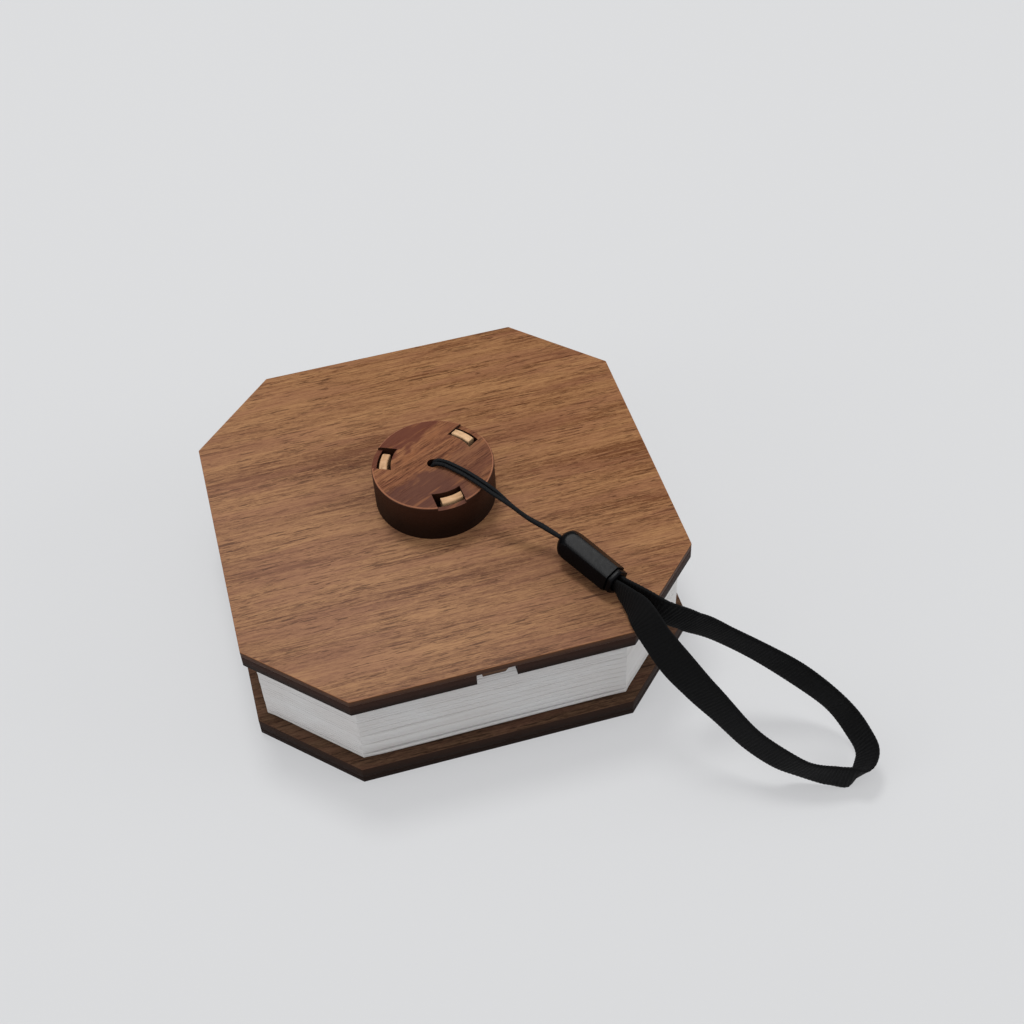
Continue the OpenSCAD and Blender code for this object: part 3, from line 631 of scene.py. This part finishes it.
strap = {
    "thick": 1.2,
    "width": 9.5,
    "ribs": 0.95,  # from rib to rib
    "relief": 0.07,  # how far a rib stands out
    "edgeRelief": 0.02,  # and its share of that at the edges
    "edgePower": 0.55,  # lower for squarer edges and flatter faces
    "facePower": 0.4,
    "upper": [
        (36.65, -45.5, 41.6), (37.35, -46.9, 42.1), (38.5, -49.3, 42.8), (41.5, -54.5, 44),
        (45.5, -59, 43.5), (51, -60.5, 39), (59.5, -62, 32.5), (69.5, -66.5, 26), (79, -72, 20),
        (86, -80, 15.5), (90, -87, 11.5), (90.5, -95, 9), (86.5, -98.5, 8.5), (77, -96.5, 10),
        (70.5, -94.5, 12), (66, -91.5, 15), (60, -86.5, 19.5), (55, -80, 25), (50.5, -75, 31),
        (47, -70, 36), (43.5, -65, 40.7), (41.5, -61, 44), (39, -55.5, 43.7), (36.8, -50.2, 42.8),
        (35.6, -47.6, 42.1), (35.1, -46.2, 41.6),
    ],
    "lower": [
        (36.65, -45.5, 37.6), (37.35, -46.9, 37.2), (38.3, -49, 37), (40.8, -52.7, 37.3),
        (44, -57.5, 34.9), (51, -59, 30), (58.5, -59.5, 23.5), (69, -65, 17), (77, -70.5, 11),
        (84, -77.5, 6.5), (87, -84, 3), (87.5, -90, 1.5), (81.5, -97, 0.65), (78, -96, 0.65),
        (71, -92.5, 2.5), (64.5, -90, 6), (58, -85, 10.5), (52, -78.5, 16), (46.5, -74, 22),
        (41.5, -69.5, 28), (38, -63.7, 33.6), (36, -58.5, 37.2), (36, -53.5, 37.2), (35.75, -49.9, 37),
        (35.65, -47.6, 37.2), (35.1, -46.2, 37.6),
    ],
    "steps": 44,  # rings for each stretch between two points
    "around": 28,
}


def curveThrough(points, steps):
    # a smooth line through the points, in metres
    knots = [Vector(p) * mm for p in points]
    knots = [knots[0] * 2 - knots[1]] + knots + [knots[-1] * 2 - knots[-2]]
    line = []
    for a, b, c, d in zip(knots, knots[1:], knots[2:], knots[3:]):
        for k in range(steps):
            t = k / steps
            line.append(0.5 * (2 * b + (c - a) * t + (2 * a - 5 * b + 4 * c - d) * t ** 2
                               + (3 * b - a - 3 * c + d) * t ** 3))
    return line + [knots[-2]]


def lengthOf(line):
    return sum((b - a).length for a, b in zip(line, line[1:]))


def startTube(bm, sides, closed=False):
    ring = bmesh.ops.create_circle(bm, segments=sides, radius=mm, cap_ends=closed)["verts"]
    return ring, bm.edges[:]


def growTube(bm, ring, edges):
    # the next ring, its points in the same order, and the edges between them
    grown = bmesh.ops.extrude_edge_only(bm, edges=edges)["geom"]
    new = {g for g in grown if isinstance(g, bmesh.types.BMVert)}
    after = [next(e.other_vert(v) for e in v.link_edges if e.other_vert(v) in new) for v in ring]
    return after, [g for g in grown if isinstance(g, bmesh.types.BMEdge) and set(g.verts) <= new]


def tubeAlong(line, sides, ringAt, mapAt):
    # ringAt gives the points round the line's point i, and mapAt their places in the UV map
    bm = bmesh.new()
    uv = bm.loops.layers.uv.new("along")
    ring, edges = startTube(bm, sides)
    first, marks, length = ring, {}, 0.0
    for i, point in enumerate(line):
        if i:
            length += (point - line[i - 1]).length
            ring, edges = growTube(bm, ring, edges)
        ahead = (line[min(i + 1, len(line) - 1)] - line[max(i - 1, 0)]).normalized()
        for k, (vert, place) in enumerate(zip(ring, ringAt(i, ahead, length))):
            vert.co = place
            marks[vert] = (k, length)
    for face in bm.faces:
        numbers = [marks[corner.vert][0] for corner in face.loops]
        wraps = max(numbers) - min(numbers) > sides / 2
        for corner in face.loops:
            k, along = marks[corner.vert]
            corner[uv].uv = mapAt(k + sides if wraps and k == 0 else k, along)
    for end in (first, ring):
        bmesh.ops.contextual_create(bm, geom=end)
    bmesh.ops.recalc_face_normals(bm, faces=bm.faces)
    return bm


def makeStrand(which):
    line = curveThrough(strand[which], strand["rings"])
    radius, relief, sides = strand["diameter"] / 2, strand["relief"], strand["sides"]
    across = Vector(strand["firstAcross"])

    def ringAt(i, ahead, length):
        nonlocal across
        across = (across - ahead * across.dot(ahead)).normalized()
        up = ahead.cross(across)
        lay = math.tau * length / mm / strand["braid"]
        for k in range(sides):
            turn = math.tau * k / sides
            weave = math.sin(strand["carriers"] * turn + lay) * math.sin(strand["carriers"] * turn - lay)
            r = (radius - relief + relief * weave) * mm
            yield line[i] + across * (r * math.cos(turn)) + up * (r * math.sin(turn))

    def mapAt(k, length):
        return k / sides, length / mm

    name = "cordStrand" + which.capitalize()
    piece = addPiece(tubeAlong(line, sides, ringAt, mapAt), name, finishes["black_cord"], 80)
    standFor(piece, "cord_strand_" + which, "hanger_top")
    return piece, line


bead = {
    "tip": (26.8, -29.5, 41.45),
    "yaw": -61.1,
    "dip": 4.8,
    "roll": 12,
    "flats": 7.6,  # across two flats at the tip
    "endFlats": 7.3,  # and at the end face
    "long": 18.2,
    "dome": 4.4,  # radius of the rounded end
    "domeAt": 4.2,  # how far its middle is from the tip
    "domeRings": 16,
    "blunt": 0.3,  # how far the first ring is from the dome's pole
    "rings": (1, 3, 6, 9, 12),  # beyond the dome's middle
    "endRings": (0.35, 0.1),  # before the end face
    "endFace": 0.975,  # its share of the bar's width
    "sides": 96,
    "soft": 26,  # higher for sharper corners
    "bore": 2.3,  # radius
    "boreDeep": 9.0,
    "boreEase": 0.15,
}


def beadPlace():
    tip = Matrix.Translation(Vector(bead["tip"]) * mm)
    yaw, dip, roll = (Matrix.Rotation(math.radians(bead[k]), 4, axis)
                      for k, axis in (("yaw", "Z"), ("dip", "Y"), ("roll", "X")))
    return tip @ yaw @ dip @ roll


def makeBead():
    # a hexagon bar whose end is rounded by a sphere, with a bore for the strap's loop
    def reach(turn, x):
        # how far the surface is from the axis, x along it
        across = bead["flats"] + (bead["endFlats"] - bead["flats"]) * x / bead["long"]
        flat = across / 2 / math.cos((turn + math.pi / 6) % (math.pi / 3) - math.pi / 6)
        before = max(bead["domeAt"] - x, 0)
        ball = max(math.sqrt(max(bead["dome"] ** 2 - before ** 2, 0)), 0.02)
        p = bead["soft"]
        return (flat ** -p + ball ** -p) ** (-1 / p)

    start = bead["domeAt"] - bead["dome"] + bead["blunt"]
    quarter = [math.pi / 2 * k / bead["domeRings"] for k in range(bead["domeRings"] + 1)]
    stations = [start + (bead["domeAt"] - start) * (1 - math.cos(turn)) for turn in quarter]
    stations += [bead["domeAt"] + along for along in bead["rings"]]
    stations += [bead["long"] - back for back in bead["endRings"]]
    bm = bmesh.new()
    ring, edges = startTube(bm, bead["sides"], closed=True)
    turns = [math.tau * k / bead["sides"] for k in range(bead["sides"])]

    def setRing(verts, x, scale=1.0, radius=None):
        for turn, v in zip(turns, verts):
            r = radius or reach(turn, x) * scale
            v.co = Vector((x, r * math.cos(turn + math.pi / 6), r * math.sin(turn + math.pi / 6))) * mm

    setRing(ring, stations[0])
    for x in stations[1:]:
        ring, edges = growTube(bm, ring, edges)
        setRing(ring, x)
    # the end face, and the bore back from it
    bore, ease = bead["bore"], bead["boreEase"]
    for back, scale, radius in ((0, bead["endFace"], None), (0, 1.0, bore + ease),
                                (ease, 1.0, bore), (bead["boreDeep"], 1.0, bore)):
        ring, edges = growTube(bm, ring, edges)
        setRing(ring, bead["long"] - back, scale, radius)
    bmesh.ops.contextual_create(bm, geom=ring)
    bmesh.ops.recalc_face_normals(bm, faces=bm.faces)
    bmesh.ops.transform(bm, matrix=beadPlace(), verts=bm.verts)
    piece = addPiece(bm, "beadShell", finishes["black_gloss"], 40)
    standFor(piece, "bead_shell", "hanger_top")
    return piece


def makeStrap():
    upper, lower = (curveThrough(strap[k], strap["steps"]) for k in ("upper", "lower"))
    middle = [(a + b) / 2 for a, b in zip(upper, lower)]
    around, relief = strap["around"], strap["relief"]

    def ringAt(i, ahead, length):
        edgeToEdge = upper[i] - lower[i]
        halfWidth = edgeToEdge.length / mm / 2
        across = (edgeToEdge - ahead * edgeToEdge.dot(ahead)).normalized()
        face = ahead.cross(across)
        rib = relief * math.sin(math.tau * length / mm / strap["ribs"])
        for k in range(around):
            # a flat section with rounded edges
            x, y = math.cos(math.tau * k / around), math.sin(math.tau * k / around)
            x = math.copysign(abs(x) ** strap["edgePower"], x) * (halfWidth - strap["edgeRelief"] * rib)
            y = math.copysign(abs(y) ** strap["facePower"], y) * (strap["thick"] / 2 - relief + rib)
            yield middle[i] + (across * x + face * y) * mm

    def mapAt(k, length):
        return math.cos(math.tau * k / around) * strap["width"] / 2, length / mm / strap["ribs"]

    bm = tubeAlong(middle, around, ringAt, mapAt)
    piece = addPiece(bm, "strapWebbing", finishes["black_webbing"], 70)
    standFor(piece, "strap_webbing", "hanger_top")
    return piece, middle


beadPiece = makeBead()
collarPiece = bpy.data.objects["beadCollar"]
knotPiece = bpy.data.objects["cordKnot"]
for which in ("back", "front"):
    piece, line = makeStrand(which)  # it leaves the cap at its route's third point
    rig.cord(piece, exit=line[strand["rings"] * 2], length=lengthOf(line), diameter=strand["diameter"] * mm,
            far_end="fitting", stiffness="limp", lay="loose", path=line[:-1:6] + [line[-1]],
            with_pieces=[beadPiece, collarPiece, knotPiece])
    print("strand", which, "length in mm:", round(lengthOf(line) / mm, 1))
strapPiece, strapLine = makeStrap()
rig.cord(strapPiece, exit=strapLine[0], length=lengthOf(strapLine), diameter=strap["width"] * mm,
        far_end="object", stiffness="limp", lay="loose", path=strapLine[:-1:8] + [strapLine[-1]])
print("strap length in mm:", round(lengthOf(strapLine) / mm, 1))


bellows = {
    "floor": 5.9,  # top of the lower end sheet
    "leaves": 24,
    "rise": 1.0,  # height of a leaf at rest
    "inner": 45.0,  # half the width across flats at the inner creases
    "outer": 57.0,
    "coverHalf": 60.0,  # half the covers' width, and how much their corners are cut
    "coverCut": 23.2,
    "thick": 0.14,  # of the paper
    "leafCuts": 4,
    "cuts": 14,  # across each face of a crease
    "ringHalf": 0.985,  # half the height of a crease
    "ringDeep": 4.0,  # how far in from its nose it reaches
    # how soft each fold is, from below
    "round": (0.5, 0.5, 0.55, 0.2, 0.7, 0.2, 0.2, 0.3, 0.2, 0.15, 0.15, 0.2),
    "bulges": {0: 0.2, 2: 0.5, 4: 0.45},  # folds that stand out on the left half of the front
    "bulgeEnd": 14,  # where along the front, and over what length, they sink back
    "bulgeFade": 30,
    "lowest": (0.55, 0.62),  # the lowest fold's top and bottom, as shares, so that gaps show round it
    "pressed": 0.85,  # how flat the folds lie on the two front corner faces
    "pressedFade": 1.5,  # over what width round those faces it begins
    "wave": 0.035,  # how far a crease wanders up and down
    "inset": 0.1,  # and in and out
    "waveBroad": 60,  # both have a broad wave and a fine one, this many to a metre
    "waveFine": 260,
    "waveDeep": 3.0,  # they fade out this far in from the nose
    "step": 0.1,  # how far one crease stands in or out of the next
    "sheetInset": 1.6,
    "sheetInner": 40,
    "sheetLow": 5.62,
    "sheetHigh": 5.88,
    "teeth": (0.14, 0.1, 0.1, 0.1, 0.1, 0.1, 0.22, 0.0),  # how far a fold sticks out at each corner
    "toothReach": 1.3,
}


def octagonCorners(half):
    # a square's corners cut at 45 degrees; an even margin keeps the sloping faces parallel to the covers'
    cut = bellows["coverCut"] - (bellows["coverHalf"] - half) * (2 - math.sqrt(2))
    a = half - cut
    return [(a, -half), (half, -a), (half, a), (a, half), (-a, half), (-half, a), (-half, -a), (-a, -half)]


def octagonLoop(bm, half, z):
    verts = [bm.verts.new(Vector((x, y, z)) * mm) for x, y in octagonCorners(half)]
    return [bm.edges.new((a, b)) for a, b in zip(verts, verts[1:] + verts[:1])]


def smoothInverse(share):
    # the t for which 3 t^2 - 2 t^3 is share
    return 0.5 - math.sin(math.asin(1 - 2 * share) / 3)


def wander(co, seed):
    # an uneven value that differs from place to place and from fold to fold
    broad, fine = bellows["waveBroad"], bellows["waveFine"]
    return (noise.noise(Vector((co.x * broad, co.y * broad, seed * 3.7))) * 0.7
            + noise.noise(Vector((co.x * fine, co.y * fine, seed * 5.3))) * 0.5)


def makeLeaf(j):
    low = bellows["floor"] + j * bellows["rise"]
    high = low + bellows["rise"]
    halves = (bellows["outer"], bellows["inner"]) if j % 2 else (bellows["inner"], bellows["outer"])
    bm = bmesh.new()
    edges = octagonLoop(bm, halves[0], low) + octagonLoop(bm, halves[1], high)
    bmesh.ops.bridge_loops(bm, edges=edges)
    long = [e for e in bm.edges if abs(e.verts[0].co.z - e.verts[1].co.z) < 1e-6]
    bmesh.ops.subdivide_edges(bm, edges=long, cuts=bellows["leafCuts"], use_grid_fill=True)
    bmesh.ops.recalc_face_normals(bm, faces=bm.faces)
    bmesh.ops.solidify(bm, geom=bm.faces[:], thickness=bellows["thick"] * mm)
    piece = addPiece(bm, f"leaf{j + 1:02d}", finishes["paper"], 25)
    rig.slot(piece, "paper")
    # this leaf's stretch of the blend from cover to cover, so that its two edges keep to their creases
    first, last = smoothInverse(j / bellows["leaves"]), smoothInverse((j + 1) / bellows["leaves"])
    reach = bellows["rise"] / (last - first)
    base = low - first * reach
    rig.blend(piece, "base_cover", "lamp_cover", start=(0, 0, base * mm), end=(0, 0, (base + reach) * mm))


def makeCrease(i):
    # the rounded paper at one outer crease, from the nose to where the leaves part
    z = bellows["floor"] + bellows["rise"] * (2 * i + 1)
    half, deep, outer = bellows["ringHalf"], bellows["ringDeep"], bellows["outer"]
    soft = bellows["round"][i]
    profile = [  # inset, share of half the height
        (0.0, 0.72 - 0.42 * soft), (0.04 + 0.04 * soft, 0.9 - 0.25 * soft),
        (0.10 + 0.15 * soft, 0.97 - 0.1 * soft), (0.35 + 0.3 * soft, 1.0), (1.2, 0.95), (deep, 0.35),
    ]
    over, under = (1.0, 1.0) if i else bellows["lowest"]
    offsets = [(d, s * half * over) for d, s in profile]
    offsets += [(d, -s * half * under) for d, s in reversed(profile)]
    step = abs(bellows["step"] * noise.noise(Vector((i * 1.7, 3.1, 0)))) * 2
    bm = bmesh.new()
    loops = [octagonLoop(bm, outer - d - step, z + h) for d, h in offsets]
    for a, b in zip(loops, loops[1:] + loops[:1]):
        bmesh.ops.bridge_loops(bm, edges=a + b)
    flat = [e for loop in loops for e in loop]
    bmesh.ops.subdivide_edges(bm, edges=flat, cuts=bellows["cuts"], use_grid_fill=True)
    corners = [Vector((x, y)) for x, y in octagonCorners(outer)]
    cutFace = abs(corners[7].x + corners[7].y) / math.sqrt(2)  # how far a corner face is from the middle
    for v in bm.verts:
        x, y, h = v.co.x / mm, v.co.y / mm, v.co.z / mm - z
        reach = max(abs(x), abs(y), (abs(x) + abs(y)) / math.sqrt(2) - cutFace + outer)
        near = max(0.0, 1 - (outer - reach) / bellows["waveDeep"])
        offCut = max(0.0, cutFace - (abs(x) - y) / math.sqrt(2) - outer + reach)
        onCut = max(0.0, 1 - offCut / bellows["pressedFade"])
        if i or h > 0:
            h += math.copysign(half - abs(h), h) * bellows["pressed"] * onCut * near
        apart, nearest = min(((v.co.xy / mm - c).length, k) for k, c in enumerate(corners))
        tooth = bellows["teeth"][nearest] * max(0.0, 1 - apart / bellows["toothReach"])
        along = min(1.0, max(0.0, (bellows["bulgeEnd"] - x) / bellows["bulgeFade"]))
        front = max(0.0, 1 - onCut * 2) * (y < -abs(x)) * along
        bulge = bellows["bulges"].get(i, 0.0) * front
        shift = (tooth + bulge - abs(wander(v.co, i + 40)) * bellows["inset"]) * near
        v.co = Vector((x * (1 + shift / outer), y * (1 + shift / outer), z + h)) * mm
        v.co.z += wander(v.co, i) * bellows["wave"] * mm * near
    bmesh.ops.recalc_face_normals(bm, faces=bm.faces)
    piece = addPiece(bm, f"crease{i + 1:02d}", finishes["paper"], 40)
    standFor(piece, f"fold_{i + 1:02d}", f"pleat_{i + 1:02d}")


def makeLowerSheet():
    # the sheet glued to the lower cover stops short of the folds, so their shadow falls on the cover
    bm = bmesh.new()
    half, inner = bellows["outer"] - bellows["sheetInset"], bellows["sheetInner"]
    low, high = bellows["sheetLow"], bellows["sheetHigh"]
    loops = [octagonLoop(bm, *edge) for edge in ((half, low), (half, high), (inner, high), (inner, low))]
    for a, b in zip(loops, loops[1:] + loops[:1]):
        bmesh.ops.bridge_loops(bm, edges=a + b)
    bmesh.ops.recalc_face_normals(bm, faces=bm.faces)
    piece = addPiece(bm, "lowerSheet", finishes["paper"], 40)
    standFor(piece, "bottom_end_sheet", "base_cover")


makeLowerSheet()
for j in range(bellows["leaves"]):
    makeLeaf(j)
for i in range(bellows["leaves"] // 2):
    makeCrease(i)
print("bellows made:", bellows["leaves"], "leaves")


def dressNodes():
    # the other CAD nodes keep their shape
    for node, slot in slotOf.items():
        mesh = frame["nodes"][node].data
        mesh.materials.clear()
        mesh.materials.append(finishes[slot])


dressNodes()
print("CAD nodes dressed:", len(slotOf))


def makeStudio():
    bm = bmesh.new()
    bmesh.ops.create_grid(bm, x_segments=2, y_segments=2, size=studio["floorSize"] / 2)
    mesh = bpy.data.meshes.new("floor")
    bm.to_mesh(mesh)
    bm.free()
    mesh.materials.append(floorFinish())
    floor = bpy.data.objects.new("floor", mesh)
    bpy.context.scene.collection.objects.link(floor)
    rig.stage(floor)
    for name, place, size, power in studio["lamps"]:
        data = bpy.data.lights.new(name, "AREA")
        data.shape, data.size, data.energy = "DISK", size, power
        lamp = bpy.data.objects.new(name, data)
        aim = Vector((0, 0, 0.02)) - Vector(place)
        lamp.matrix_world = Matrix.Translation(place) @ aim.to_track_quat("-Z", "Y").to_matrix().to_4x4()
        bpy.context.scene.collection.objects.link(lamp)
    world = bpy.data.worlds.new("studioAir")
    world.use_nodes = True
    air = Nodes(world.node_tree)
    height = air.part("Z", air.node("ShaderNodeTexCoord", out="Generated"))
    strength = air.node("ShaderNodeMapRange", {"interpolation_type": "SMOOTHSTEP"}, {
        "Value": height, "From Min": studio["wallTop"], "From Max": studio["ceiling"],
        "To Min": studio["airLow"], "To Max": studio["airHigh"]})
    air.feed(air.tree.nodes["Background"], {"Color": srgb(*studio["airColour"]), "Strength": strength})
    bpy.context.scene.world = world
    bpy.context.scene.view_settings.view_transform = "Standard"


makeStudio()
placeCamera()
print("studio and camera placed")

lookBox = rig.bounds()
with open("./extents.json", "w") as out:
    json.dump({"cad": [list(corner) for corner in cadBox],
               "visual": [list(corner) for corner in lookBox]}, out)
